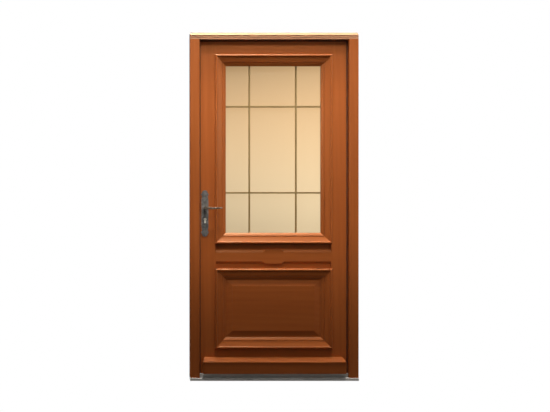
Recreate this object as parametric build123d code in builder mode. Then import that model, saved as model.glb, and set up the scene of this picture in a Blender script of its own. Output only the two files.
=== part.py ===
"""Glazed entrance door: a framed wooden leaf with a nine-light glazed upper part, hung in its frame.

Seen from outside, X runs to the right, Z runs up and the outside faces -Y.
The origin is the centre of the underside of the threshold. Sizes are millimetres.
The leaf is hung on the right on the inside and opens inwards, towards +Y.
"""

import os

from build123d import *

os.makedirs("parts", exist_ok=True)

# Whole door set
FRAME_W = 1040.0
FRAME_H = 2155.0
LEAF_T = 56.0
SEAT = 0.3
RUNNING = 0.05

# Frame members: a face that shows, and a rebate that the leaf closes into
JAMB_FACE = 60.0
HEAD_FACE = 46.0
REBATE = 16.0
LIP_DEPTH = 25.0
ARRIS_R = 8.0
HEAD_CHAMFER = 21.0
# Each groove in the head: its drop below the top, its width and its depth
HEAD_GROOVES = ((25.0, 5.0, 6.0), (38.0, 3.0, 4.0))

# Gaps round the leaf; the lock side is wider because that edge swings past the rebate
SEAL_GAP = 5.0
HINGE_GAP = 5.0
LOCK_GAP = 8.0
TOP_GAP = 5.0
BOTTOM_GAP = 5.0

# Threshold: a low bar under everything, and an upstand that the leaf closes against
SILL_H = 17.0
SILL_NOSE = 5.0
SILL_NOSE_R = 4.0
STOP_H = 24.0
STOP_T = 8.0
STOP_LIP_H = 16.0
STOP_LIP_OUT = 5.0
SEAL_W = 5.0
SEAL_INSET = 2.0
SILL_SEAL_RISE = 8.0
SILL_SEAL_H = 8.0

# What shows of the leaf's members round the mouldings, and the openings they leave
STILE_FACE = 96.0
TOP_RAIL_FACE = 89.0
GLASS_Z = 912.0
PANEL_Z = 261.0
PANEL_H = 361.0

# Moulding round each opening, counted from its outer edge towards the opening
MOULD_W = 68.0
MOULD_LAP = 6.0
RIDGE_W = 16.0
GROOVE_AT = 45.0
GROOVE_W = 5.0
GROOVE_DEPTH = 5.0
OUTER_PROJECTION = 20.0
INNER_PROJECTION = 10.0
HOLLOW_RISE = 2.0
LIP_CROWN = 1.0
SIGHT_DROP = 9.0
BITE = 18.0
EDGE_CLEAR = 3.0

# Glazing unit
UNIT_T = 28.0
PANE_T = 4.0
SPACER_W = 12.0
BAR_W = 10.0
BAR_T = 8.0
CORNER_LIGHT_W = 145.0
CORNER_LIGHT_H = 245.0

# Raised and fielded panel
BEVEL = 40.0
FIELD_RISE = 11.0
FIELD_STEP = 2.0

# Middle rail: a band with stopped chamfers, between two sunk channels
LOWER_CHANNEL_H = 28.0
UPPER_CHANNEL_H = 37.0
CHANNEL_DEPTH = 12.0
BAND_CHAMFER = 15.0
CARTOUCHE_W = 100.0
RUN_OUT = 16.0
LEDGE = 1.0

# Weatherboard
WB_END_GAP = 20.0
WB_CLEAR = 5.0
WB_H = 94.0
WB_OUT = 50.0
WB_FALL = 22.0
WB_LIP_H = 4.0
WB_LIP_SET = 4.0
WB_HIP = 12.0
WB_BACK_LEDGE = 3.0
DRIP_W = 6.0
DRIP_DEPTH = 5.0
DRIP_BACK = 14.0

# Lever furniture
BACKSET = 41.0
LEVER_Z = 1066.0
LEVER_TO_CYLINDER = 70.0
PLATE_H = 288.0
PLATE_W = 47.0
PLATE_T = 5.0
PLATE_DROP = 33.0
# Outline of the plate's ends: a dome, a round lobe as wide as the plate, a waist, and the straight side
DOME_H = 19.0
DOME_SET_IN = 5.17
LOBE_H = 14.0
WAIST_DROP = 13.0
WAIST_SET_IN = 4.7
SIDE_DROP = 14.0
SIDE_SET_IN = 1.41
NECK_R = 9.0
NECK_RISE = 10.0
STANDOFF = 45.0
LEVER_REACH = 104.0
LEVER_T = 9.0
LEVER_ROOT_H = 13.0
LEVER_TIP_H = 9.0
LEVER_DIP = 2.5
LEVER_BEND_R = 60.0
LEVER_CHAMFER = 1.5
STEM_R = 7.0
SPINDLE = 8.0
SPINDLE_BORE_R = 10.0
SOCKET = 0.1

# Profile cylinder
PLUG_R = 8.5
TAIL_W = 10.0
CYLINDER_H = 33.0
CYLINDER_PROUD = 4.0
KEYWAY_W = 2.2
KEYWAY_H = 9.0
KEYWAY_DEPTH = 4.0

# Lock plates
FACEPLATE_W = 22.0
FACEPLATE_H = 270.0
FACEPLATE_T = 3.0
LATCH_W = 12.0
LATCH_H = 32.0
LATCH_LEN = 20.0
STRIKE_W = 28.0
STRIKE_T = 2.5
STRIKE_ROOM = 2.0

# Hinges
HINGE_STANDOFF = 13.0
HINGE_FOOT = 238.0
HINGE_DROP = 238.0
HINGE_H = 110.0
KNUCKLE_R = 7.0
HINGE_PIN_R = 4.0
HINGE_PLATE_T = 2.5
HINGE_PLATE_D = 36.0
KNUCKLE_GAP = 0.4
PIN_END_CLEAR = 1.0
PIN_CAP = 8.0

# Derived planes and edges
FRAME_DEPTH = LIP_DEPTH + SEAL_GAP + LEAF_T
FRAME_FRONT = -FRAME_DEPTH / 2
FRAME_BACK = FRAME_DEPTH / 2
LIP_BACK = FRAME_FRONT + LIP_DEPTH
LEAF_FRONT = LIP_BACK + SEAL_GAP
LEAF_BACK = LEAF_FRONT + LEAF_T
LEAF_MID = (LEAF_FRONT + LEAF_BACK) / 2
LIP_X = FRAME_W / 2 - JAMB_FACE
REBATE_X = LIP_X + REBATE
LIP_TOP = FRAME_H - HEAD_FACE
REBATE_TOP = LIP_TOP + REBATE
LEAF_LEFT = -REBATE_X + LOCK_GAP
LEAF_RIGHT = REBATE_X - HINGE_GAP
LEAF_BOTTOM = SILL_H + BOTTOM_GAP
LEAF_TOP = REBATE_TOP - TOP_GAP
MOULD_X = LIP_X - STILE_FACE
OPENING_X = MOULD_X - MOULD_LAP
SIGHT_W = 2 * (MOULD_X - MOULD_W)
MOULD_INNER = MOULD_W - MOULD_LAP
GLASS_TOP = LIP_TOP - TOP_RAIL_FACE - MOULD_W
GLASS_H = GLASS_TOP - GLASS_Z
PANEL_TOP = PANEL_Z + PANEL_H
BAND_LOW = PANEL_TOP + MOULD_W + LEDGE + LOWER_CHANNEL_H
BAND_HIGH = GLASS_Z - MOULD_W - LEDGE - UPPER_CHANNEL_H
BAR_X = SIGHT_W / 2 - CORNER_LIGHT_W - BAR_W / 2
BAR_RISE = GLASS_H / 2 - CORNER_LIGHT_H - BAR_W / 2
UNIT_FRONT = LEAF_MID - UNIT_T / 2
UNIT_BACK = LEAF_MID + UNIT_T / 2
WB_Z = SILL_H + STOP_H + WB_CLEAR
LEVER_X = LEAF_LEFT + BACKSET
CYLINDER_Z = LEVER_Z - LEVER_TO_CYLINDER
PLATE_Z = LEVER_Z - PLATE_DROP
HINGE_X = (LEAF_RIGHT + REBATE_X) / 2
HINGE_Y = LEAF_BACK + HINGE_STANDOFF
HINGE_LOW = LEAF_BOTTOM + HINGE_FOOT
HINGE_HIGH = LEAF_TOP - HINGE_DROP
HINGE_ZS = (HINGE_LOW, (HINGE_LOW + HINGE_HIGH) / 2, HINGE_HIGH)
OUT = Vector(0, -1, 0)
IN = Vector(0, 1, 0)


def facing_out(y, x=0.0, z=0.0):
    """Sketch plane at depth y: local x is X, local y is Z, and its normal points outside."""
    return Plane(origin=(x, y, z), x_dir=(1, 0, 0), z_dir=(0, -1, 0))


def across(x):
    """Sketch plane across the width at x: local x is Y, local y is Z."""
    return Plane.YZ.offset(x)


def save(part, name):
    """Label a finished piece and write it to its own file."""
    part.label = name
    export_step(part, f"parts/{name}.step")


def make_jamb(side, hinge_side):
    """Upright of the frame, an L in plan, scribed at the top round the head."""
    back = side * FRAME_W / 2
    with BuildPart() as jamb:
        with BuildSketch(Plane.XY.offset(SILL_H)) as plan:
            with BuildLine():
                Polyline(
                    (back, FRAME_FRONT),
                    (side * LIP_X, FRAME_FRONT),
                    (side * LIP_X, LIP_BACK),
                    (side * REBATE_X, LIP_BACK),
                    (side * REBATE_X, FRAME_BACK),
                    (back, FRAME_BACK),
                    close=True,
                )
            make_face()
            arris = plan.vertices().sort_by_distance((side * LIP_X, FRAME_FRONT, 0))[0]
            fillet(arris, radius=ARRIS_R)
        extrude(amount=LIP_TOP - SILL_H)
        with BuildSketch(Plane.XY.offset(LIP_TOP)):
            with Locations((side * (REBATE_X + FRAME_W / 2) / 2, (LIP_BACK + FRAME_BACK) / 2)):
                Rectangle(FRAME_W / 2 - REBATE_X, FRAME_BACK - LIP_BACK)
        extrude(amount=REBATE)
        if hinge_side:
            for z in HINGE_ZS:
                with BuildSketch(Plane.YZ.offset(REBATE_X)):
                    with Locations((LEAF_BACK - HINGE_PLATE_D / 2, z)):
                        Rectangle(HINGE_PLATE_D, HINGE_H)
                extrude(amount=HINGE_PLATE_T, mode=Mode.SUBTRACT)
        else:
            with BuildSketch(Plane.YZ.offset(-REBATE_X)):
                with Locations((LEAF_MID, CYLINDER_Z + LEVER_TO_CYLINDER / 2)):
                    Rectangle(STRIKE_W, FACEPLATE_H)
            extrude(amount=-STRIKE_T, mode=Mode.SUBTRACT)
    return jamb.part


def make_head():
    """Top member of the frame, over both jambs, with a big chamfer and two fine grooves."""
    with BuildPart() as head:
        with BuildSketch(across(-FRAME_W / 2)) as section:
            with BuildLine():
                Polyline(
                    (FRAME_FRONT, FRAME_H),
                    (FRAME_FRONT, LIP_TOP),
                    (LIP_BACK, LIP_TOP),
                    (LIP_BACK, REBATE_TOP),
                    (FRAME_BACK, REBATE_TOP),
                    (FRAME_BACK, FRAME_H),
                    close=True,
                )
            make_face()
            top = section.vertices().sort_by_distance((FRAME_FRONT, FRAME_H, 0))[0]
            chamfer(top, length=HEAD_CHAMFER)
            for drop, width, depth in HEAD_GROOVES:
                with Locations((FRAME_FRONT, FRAME_H - drop)):
                    Rectangle(2 * depth, width, mode=Mode.SUBTRACT)
        extrude(amount=FRAME_W)
    return head.part


def make_threshold():
    """Low bar under the jambs, with a rounded nose that stands just outside them."""
    with BuildPart() as threshold:
        with BuildSketch(across(-FRAME_W / 2)) as section:
            with BuildLine():
                Polyline(
                    (FRAME_FRONT - SILL_NOSE, 0),
                    (FRAME_BACK, 0),
                    (FRAME_BACK, SILL_H),
                    (FRAME_FRONT, SILL_H),
                    (FRAME_FRONT - SILL_NOSE, SILL_H),
                    close=True,
                )
            make_face()
            nose = section.vertices().sort_by_distance((FRAME_FRONT - SILL_NOSE, SILL_H, 0))[0]
            fillet(nose, radius=SILL_NOSE_R)
        extrude(amount=FRAME_W)
    return threshold.part


def make_threshold_stop():
    """Upstand between the jambs that the foot of the leaf closes against, with a lip at its head."""
    foot = LIP_BACK - STOP_T
    top = SILL_H + STOP_H
    with BuildPart() as stop:
        with BuildSketch(across(SEAT - LIP_X)):
            with BuildLine():
                Polyline(
                    (foot, SILL_H),
                    (LIP_BACK, SILL_H),
                    (LIP_BACK, top),
                    (foot - STOP_LIP_OUT, top),
                    (foot - STOP_LIP_OUT, top - STOP_LIP_H),
                    (foot, top - STOP_LIP_H),
                    close=True,
                )
            make_face()
        extrude(amount=2 * (LIP_X - SEAT))
    return stop.part


def make_upright_seal(side):
    """Rubber strip on the back of a jamb's lip, just short of the leaf."""
    depth = SEAL_GAP - SEAT
    with BuildPart() as seal:
        with BuildSketch(Plane.XY.offset(SILL_H + SEAT)):
            with Locations((side * (LIP_X + SEAL_INSET + SEAL_W / 2), LIP_BACK + depth / 2)):
                Rectangle(SEAL_W, depth)
        extrude(amount=LIP_TOP + SEAL_INSET + SEAL_W - SILL_H - SEAT)
    return seal.part


def make_level_seal(z, height):
    """Rubber strip across the opening, between the two upright strips."""
    depth = SEAL_GAP - SEAT
    with BuildPart() as seal:
        with BuildSketch(Plane.XY.offset(z)):
            with Locations((0, LIP_BACK + depth / 2)):
                Rectangle(2 * (LIP_X + SEAL_INSET - SEAT), depth)
        extrude(amount=height)
    return seal.part


def make_lock_stile():
    """Upright of the leaf on the lock side, bored for the furniture and housed for the lock plate."""
    with BuildPart() as stile:
        with BuildSketch(facing_out(LEAF_BACK)):
            with Locations(((LEAF_LEFT - OPENING_X) / 2, (LEAF_BOTTOM + LEAF_TOP) / 2)):
                Rectangle(-OPENING_X - LEAF_LEFT, LEAF_TOP - LEAF_BOTTOM)
        extrude(amount=LEAF_T)
        with BuildSketch(facing_out(LEAF_BACK, LEVER_X)):
            with Locations((0, LEVER_Z)):
                Circle(SPINDLE_BORE_R)
            with Locations((0, CYLINDER_Z)):
                Circle(PLUG_R + SEAT)
            with Locations((0, CYLINDER_Z + PLUG_R - CYLINDER_H / 2)):
                SlotOverall(CYLINDER_H + 2 * SEAT, TAIL_W + 2 * SEAT, rotation=90)
        extrude(amount=LEAF_T, mode=Mode.SUBTRACT)
        with BuildSketch(Plane.YZ.offset(LEAF_LEFT)):
            with Locations((LEAF_MID, CYLINDER_Z + LEVER_TO_CYLINDER / 2)):
                Rectangle(FACEPLATE_W, FACEPLATE_H)
        extrude(amount=FACEPLATE_T, mode=Mode.SUBTRACT)
        with BuildSketch(Plane.YZ.offset(LEAF_LEFT)):
            with Locations((LEAF_MID, LEVER_Z), (LEAF_MID, CYLINDER_Z)):
                Rectangle(LATCH_W, LATCH_H)
        extrude(amount=LATCH_LEN, mode=Mode.SUBTRACT)
    return stile.part


def make_hinge_stile():
    """Upright of the leaf on the hinge side, housed for the hinge plates."""
    with BuildPart() as stile:
        with BuildSketch(facing_out(LEAF_BACK)):
            with Locations(((LEAF_RIGHT + OPENING_X) / 2, (LEAF_BOTTOM + LEAF_TOP) / 2)):
                Rectangle(LEAF_RIGHT - OPENING_X, LEAF_TOP - LEAF_BOTTOM)
        extrude(amount=LEAF_T)
        for z in HINGE_ZS:
            with BuildSketch(Plane.YZ.offset(LEAF_RIGHT)):
                with Locations((LEAF_BACK - HINGE_PLATE_D / 2, z)):
                    Rectangle(HINGE_PLATE_D, HINGE_H)
            extrude(amount=-HINGE_PLATE_T, mode=Mode.SUBTRACT)
    return stile.part


def make_rail(z_low, z_high):
    """Plain rail between the stiles."""
    with BuildPart() as rail:
        with BuildSketch(facing_out(LEAF_BACK)):
            with Locations((0, (z_low + z_high) / 2)):
                Rectangle(2 * OPENING_X, z_high - z_low)
        extrude(amount=LEAF_T)
    return rail.part


def make_middle_rail():
    """Rail with a band left standing between two channels; the band's chamfers stop at a tablet."""
    low = PANEL_TOP + MOULD_INNER
    high = GLASS_Z - MOULD_INNER
    channel_low = PANEL_TOP + MOULD_W + LEDGE
    channel_high = GLASS_Z - MOULD_W - LEDGE
    edges = ((BAND_HIGH, -1), (BAND_LOW, 1))
    with BuildPart() as rail:
        with BuildSketch(facing_out(LEAF_BACK)):
            with Locations((0, (low + high) / 2)):
                Rectangle(2 * OPENING_X, high - low)
        extrude(amount=LEAF_T)
        with BuildSketch(facing_out(LEAF_FRONT)):
            with Locations((0, (BAND_HIGH + channel_high) / 2)):
                Rectangle(2 * OPENING_X, channel_high - BAND_HIGH)
            with Locations((0, (channel_low + BAND_LOW) / 2)):
                Rectangle(2 * OPENING_X, BAND_LOW - channel_low)
        extrude(amount=-CHANNEL_DEPTH, mode=Mode.SUBTRACT)
        for side in (-1, 1):
            for edge, inward in edges:
                start = side * (CARTOUCHE_W / 2 + RUN_OUT)
                with BuildSketch(across(start)) as wedge:
                    with BuildLine():
                        Polyline(
                            (LEAF_FRONT, edge),
                            (LEAF_FRONT, edge + inward * BAND_CHAMFER),
                            (LEAF_FRONT + CHANNEL_DEPTH, edge),
                            close=True,
                        )
                    make_face()
                extrude(amount=side * (OPENING_X - abs(start)), mode=Mode.SUBTRACT)
                tip = Vertex(side * CARTOUCHE_W / 2, LEAF_FRONT, edge)
                loft(sections=[wedge.sketch, tip], mode=Mode.SUBTRACT)
    return rail.part


def make_moulding(origin, inward, outward, half_run, projection):
    """One side of a moulding frame: ridge, hollow, groove and lip, mitred at both ends."""
    run = inward.cross(outward)
    to_mid = LEAF_T / 2 - SEAT / 2
    to_unit = (LEAF_T - UNIT_T) / 2 - SEAT
    step = MOULD_W - BITE - EDGE_CLEAR
    shoulder = projection * 0.62
    hollow = (shoulder + HOLLOW_RISE) * 0.45
    lip = GROOVE_AT + GROOVE_W
    lip_fall = (HOLLOW_RISE - SIGHT_DROP) / 2
    with BuildPart() as moulding:
        with BuildSketch(Plane(origin=origin, x_dir=inward, z_dir=run)):
            with BuildLine():
                Line((MOULD_LAP + SEAT, 0), (0, 0))
                Line((0, 0), (0, projection / 2))
                ThreePointArc(
                    (0, projection / 2),
                    (RIDGE_W * 0.2, projection * 0.9),
                    (RIDGE_W / 2, projection),
                )
                ThreePointArc(
                    (RIDGE_W / 2, projection),
                    (RIDGE_W * 0.84, projection * 0.88),
                    (RIDGE_W, shoulder),
                )
                ThreePointArc(
                    (RIDGE_W, shoulder),
                    ((RIDGE_W + GROOVE_AT) / 2, hollow),
                    (GROOVE_AT, HOLLOW_RISE),
                )
                Line((GROOVE_AT, HOLLOW_RISE), (GROOVE_AT, HOLLOW_RISE - GROOVE_DEPTH))
                Line((GROOVE_AT, HOLLOW_RISE - GROOVE_DEPTH), (lip, HOLLOW_RISE - GROOVE_DEPTH))
                Line((lip, HOLLOW_RISE - GROOVE_DEPTH), (lip, HOLLOW_RISE))
                ThreePointArc(
                    (lip, HOLLOW_RISE),
                    ((lip + MOULD_W) / 2, lip_fall + LIP_CROWN),
                    (MOULD_W, -SIGHT_DROP),
                )
                Line((MOULD_W, -SIGHT_DROP), (MOULD_W, -to_unit))
                Line((MOULD_W, -to_unit), (step, -to_unit))
                Line((step, -to_unit), (step, -to_mid))
                Line((step, -to_mid), (MOULD_LAP + SEAT, -to_mid))
                Line((MOULD_LAP + SEAT, -to_mid), (MOULD_LAP + SEAT, 0))
            make_face()
        extrude(amount=half_run, both=True)
        for end in (-1, 1):
            corner = origin + run * (end * half_run)
            split(bisect_by=Plane(origin=corner, z_dir=(inward + run * end) * -1), keep=Keep.TOP)
    return moulding.part


def save_moulding_frame(name, z_low, z_high, face, outward, projection):
    """Four mitred lengths round one opening, on one face of the leaf."""
    middle = (z_low + z_high) / 2
    half_h = (z_high - z_low) / 2 + MOULD_W
    sides = (
        ("top", Vector(0, face, middle + half_h), Vector(0, 0, -1), MOULD_X),
        ("bottom", Vector(0, face, middle - half_h), Vector(0, 0, 1), MOULD_X),
        ("left", Vector(-MOULD_X, face, middle), Vector(1, 0, 0), half_h),
        ("right", Vector(MOULD_X, face, middle), Vector(-1, 0, 0), half_h),
    )
    for side, origin, inward, half_run in sides:
        save(make_moulding(origin, inward, outward, half_run, projection), f"{name}_{side}")


def make_pane(front):
    """One pane of the glazing unit."""
    with BuildPart() as pane:
        with BuildSketch(facing_out(front + PANE_T)):
            with Locations((0, (GLASS_Z + GLASS_TOP) / 2)):
                Rectangle(SIGHT_W + 2 * BITE, GLASS_H + 2 * BITE)
        extrude(amount=PANE_T)
    return pane.part


def make_spacer():
    """Hollow-section ring that holds the panes apart at their edge."""
    with BuildPart() as spacer:
        with BuildSketch(facing_out(UNIT_BACK - PANE_T)):
            with Locations((0, (GLASS_Z + GLASS_TOP) / 2)):
                Rectangle(SIGHT_W + 2 * BITE, GLASS_H + 2 * BITE)
                Rectangle(
                    SIGHT_W + 2 * (BITE - SPACER_W),
                    GLASS_H + 2 * (BITE - SPACER_W),
                    mode=Mode.SUBTRACT,
                )
        extrude(amount=UNIT_T - 2 * PANE_T)
    return spacer.part


def make_bars():
    """Grid of two uprights and two level bars between the panes, making nine lights."""
    middle = (GLASS_Z + GLASS_TOP) / 2
    reach = 2 * (BITE - SPACER_W)
    with BuildPart() as bars:
        with BuildSketch(facing_out(LEAF_MID + BAR_T / 2)):
            with Locations((-BAR_X, middle), (BAR_X, middle)):
                Rectangle(BAR_W, GLASS_H + reach)
            with Locations((0, middle - BAR_RISE), (0, middle + BAR_RISE)):
                Rectangle(SIGHT_W + reach, BAR_W)
        extrude(amount=BAR_T)
    return bars.part


def make_panel():
    """Solid panel, fielded on both faces: a sloping bevel, a small step and a flat raised field."""
    middle = (PANEL_Z + PANEL_TOP) / 2
    with BuildPart() as panel:
        with BuildSketch(facing_out(UNIT_BACK)):
            with Locations((0, middle)):
                Rectangle(SIGHT_W + 2 * BITE, PANEL_H + 2 * BITE)
        extrude(amount=UNIT_T)
        for start, way in ((UNIT_FRONT, -1), (UNIT_BACK, 1)):
            with BuildSketch(facing_out(start)) as foot:
                with Locations((0, middle)):
                    Rectangle(SIGHT_W, PANEL_H)
            with BuildSketch(facing_out(start + way * (FIELD_RISE - FIELD_STEP))) as crown:
                with Locations((0, middle)):
                    Rectangle(SIGHT_W - 2 * BEVEL, PANEL_H - 2 * BEVEL)
            loft(sections=[foot.sketch, crown.sketch], ruled=True)
            with BuildSketch(facing_out(start + way * (FIELD_RISE - FIELD_STEP))):
                with Locations((0, middle)):
                    Rectangle(SIGHT_W - 2 * BEVEL, PANEL_H - 2 * BEVEL)
            extrude(amount=-way * FIELD_STEP)
    return panel.part


def make_weatherboard():
    """Sloping board across the foot of the leaf, hipped at the ends, with a drip groove below."""
    half = LIP_X - WB_END_GAP
    front = LEAF_FRONT - WB_OUT
    top = WB_Z + WB_H
    nose = top - WB_FALL
    with BuildPart() as board:
        with BuildSketch(across(-half)):
            with BuildLine():
                Polyline(
                    (LEAF_FRONT, WB_Z),
                    (LEAF_FRONT, top),
                    (LEAF_FRONT - WB_BACK_LEDGE, top),
                    (front, nose),
                    (front, nose - WB_LIP_H),
                    (front + WB_LIP_SET, nose - WB_LIP_H),
                    (front + WB_LIP_SET, WB_Z),
                    close=True,
                )
            make_face()
            with Locations((front + DRIP_BACK, WB_Z)):
                Rectangle(DRIP_W, 2 * DRIP_DEPTH, mode=Mode.SUBTRACT)
        extrude(amount=2 * half)
        for end in (-1, 1):
            slope = Plane(origin=(end * half, 0, nose), z_dir=(-end * WB_FALL, 0, -WB_HIP))
            split(bisect_by=slope, keep=Keep.TOP)
    return board.part


def make_plate(face, outward):
    """Long handle plate with domed, lobed ends, bored for the lever and the cylinder."""
    half_w = PLATE_W / 2
    half_h = PLATE_H / 2
    dome = half_w - DOME_SET_IN
    waist = half_w - WAIST_SET_IN
    middle = half_w - SIDE_SET_IN
    dome_foot = half_h - DOME_H
    lobe_foot = dome_foot - LOBE_H
    waist_z = lobe_foot - WAIST_DROP
    side_z = waist_z - SIDE_DROP
    with BuildPart() as plate:
        with BuildSketch(facing_out(face, LEVER_X, PLATE_Z)):
            with BuildLine():
                TangentArc((0, half_h), (dome, dome_foot), tangent=(1, 0))
                ThreePointArc((dome, dome_foot), (half_w, dome_foot - LOBE_H / 2), (dome, lobe_foot))
                ThreePointArc((dome, lobe_foot), (waist, waist_z), (middle, side_z))
                Line((middle, side_z), (middle, 0))
                mirror(about=Plane.XZ)
                mirror(about=Plane.YZ)
            make_face()
        extrude(amount=outward * PLATE_T)
        with BuildSketch(facing_out(face, LEVER_X)):
            with Locations((0, LEVER_Z)):
                Circle(NECK_R + RUNNING)
            with Locations((0, CYLINDER_Z)):
                Circle(PLUG_R + SEAT)
            with Locations((0, CYLINDER_Z + PLUG_R - CYLINDER_H / 2)):
                SlotOverall(CYLINDER_H + 2 * SEAT, TAIL_W + 2 * SEAT, rotation=90)
        extrude(amount=outward * PLATE_T, mode=Mode.SUBTRACT)
    return plate.part


def make_cylinder():
    """Profile cylinder through the stile and both plates, with a keyway at each end."""
    front = LEAF_FRONT - PLATE_T - CYLINDER_PROUD
    back = LEAF_BACK + PLATE_T + CYLINDER_PROUD
    with BuildPart() as cylinder:
        with BuildSketch(facing_out(back, LEVER_X)):
            with Locations((0, CYLINDER_Z)):
                Circle(PLUG_R)
            with Locations((0, CYLINDER_Z + PLUG_R - CYLINDER_H / 2)):
                SlotOverall(CYLINDER_H, TAIL_W, rotation=90)
        extrude(amount=back - front)
        for face, way in ((front, -1), (back, 1)):
            with BuildSketch(facing_out(face, LEVER_X)):
                with Locations((0, CYLINDER_Z)):
                    Rectangle(KEYWAY_W, KEYWAY_H)
            extrude(amount=way * KEYWAY_DEPTH, mode=Mode.SUBTRACT)
    return cylinder.part


def make_lever(face, way):
    """Lever handle: a round neck through the plate, a round stem, and a flat bar that tapers and dips."""
    arm_y = face + way * (PLATE_T + STANDOFF)
    arm_front = arm_y + way * LEVER_T / 2
    socket_end = face + way * (PLATE_T + STANDOFF) / 2
    root = LEVER_ROOT_H / 2
    tip = LEVER_TIP_H / 2
    bend_x = LEVER_REACH / 2
    mean = (root + tip) / 2
    with BuildPart() as lever:
        with BuildSketch(facing_out(arm_front, LEVER_X, LEVER_Z)) as outline:
            with BuildLine():
                Polyline(
                    (0, root),
                    (bend_x, mean - LEVER_DIP),
                    (LEVER_REACH, tip),
                    (LEVER_REACH, -tip),
                    (bend_x, -mean - LEVER_DIP),
                    (0, -root),
                    close=True,
                )
            make_face()
            fillet(outline.vertices().group_by(Axis.X)[1], radius=LEVER_BEND_R)
            fillet(outline.vertices().group_by(Axis.X)[-1], radius=tip - SEAT)
        extrude(amount=way * LEVER_T)
        outer_faces = lever.faces().sort_by(Axis.Y)
        front = outer_faces[-1] if way > 0 else outer_faces[0]
        chamfer(front.edges(), length=LEVER_CHAMFER)
        with BuildSketch(facing_out(arm_front, LEVER_X, LEVER_Z)):
            Circle(NECK_R)
        extrude(amount=way * LEVER_T)
        with BuildSketch(facing_out(arm_y, LEVER_X, LEVER_Z)):
            Circle(STEM_R)
        extrude(amount=arm_y - face - way * PLATE_T)
        with BuildSketch(facing_out(face, LEVER_X, LEVER_Z)):
            Circle(NECK_R)
        extrude(amount=-way * (PLATE_T + NECK_RISE))
        with BuildSketch(facing_out(face, LEVER_X, LEVER_Z)):
            Rectangle(SPINDLE + 2 * SOCKET, SPINDLE + 2 * SOCKET)
        extrude(amount=face - socket_end, mode=Mode.SUBTRACT)
    return lever.part


def make_spindle():
    """Square bar that joins the two levers through the leaf."""
    reach = (PLATE_T + STANDOFF) / 2 - SEAT
    with BuildPart() as spindle:
        with BuildSketch(facing_out(LEAF_BACK + reach, LEVER_X, LEVER_Z)):
            Rectangle(SPINDLE, SPINDLE)
        extrude(amount=LEAF_T + 2 * reach)
    return spindle.part


def make_faceplate():
    """Plate let into the closing edge of the leaf, cut for the latch and the bolt."""
    with BuildPart() as plate:
        with BuildSketch(Plane.YZ.offset(LEAF_LEFT)):
            with Locations((LEAF_MID, CYLINDER_Z + LEVER_TO_CYLINDER / 2)):
                Rectangle(FACEPLATE_W - 2 * SEAT, FACEPLATE_H - 2 * SEAT)
            with Locations((LEAF_MID, LEVER_Z), (LEAF_MID, CYLINDER_Z)):
                Rectangle(LATCH_W, LATCH_H, mode=Mode.SUBTRACT)
        extrude(amount=FACEPLATE_T)
    return plate.part


def make_bolt(z):
    """Latch or bolt, drawn back so that its end is flush with the plate."""
    with BuildPart() as bolt:
        with BuildSketch(Plane.YZ.offset(LEAF_LEFT)):
            with Locations((LEAF_MID, z)):
                Rectangle(LATCH_W - 2 * SEAT, LATCH_H - 2 * SEAT)
        extrude(amount=LATCH_LEN - SEAT)
    return bolt.part


def make_strike():
    """Keep let into the jamb, cut for the latch and the bolt."""
    with BuildPart() as strike:
        with BuildSketch(Plane.YZ.offset(-REBATE_X)):
            with Locations((LEAF_MID, CYLINDER_Z + LEVER_TO_CYLINDER / 2)):
                Rectangle(STRIKE_W - 2 * SEAT, FACEPLATE_H - 2 * SEAT)
            with Locations((LEAF_MID, LEVER_Z), (LEAF_MID, CYLINDER_Z)):
                Rectangle(LATCH_W + 2 * STRIKE_ROOM, LATCH_H + 2 * STRIKE_ROOM, mode=Mode.SUBTRACT)
        extrude(amount=-STRIKE_T)
    return strike.part


def make_hinge_half(z, on_leaf):
    """Half of a lift-off hinge: a plate let into the wood and a knuckle round the pivot line."""
    half = HINGE_H / 2
    low = z + KNUCKLE_GAP / 2 if on_leaf else z - half
    high = z + half if on_leaf else z - KNUCKLE_GAP / 2
    plate_x = LEAF_RIGHT - HINGE_PLATE_T / 2 if on_leaf else REBATE_X + HINGE_PLATE_T / 2
    with BuildPart() as hinge:
        with BuildSketch(Plane.XY.offset(z - half + SEAT)):
            with Locations((plate_x, LEAF_BACK - HINGE_PLATE_D / 2)):
                Rectangle(HINGE_PLATE_T, HINGE_PLATE_D - 2 * SEAT)
        extrude(amount=HINGE_H - 2 * SEAT)
        with BuildSketch(Plane.XY.offset(low)):
            with Locations((plate_x, (LEAF_BACK + HINGE_Y) / 2)):
                Rectangle(HINGE_PLATE_T, HINGE_STANDOFF + 2 * SEAT)
            with Locations((HINGE_X, HINGE_Y)):
                Circle(KNUCKLE_R)
        extrude(amount=high - low)
        if on_leaf:
            with BuildSketch(Plane.XY.offset(low)):
                with Locations((HINGE_X, HINGE_Y)):
                    Circle(HINGE_PIN_R + RUNNING)
            extrude(amount=half - PIN_CAP, mode=Mode.SUBTRACT)
        else:
            with BuildSketch(Plane.XY.offset(high)):
                with Locations((HINGE_X, HINGE_Y)):
                    Circle(HINGE_PIN_R)
            extrude(amount=half - PIN_CAP - PIN_END_CLEAR)
    return hinge.part


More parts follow.
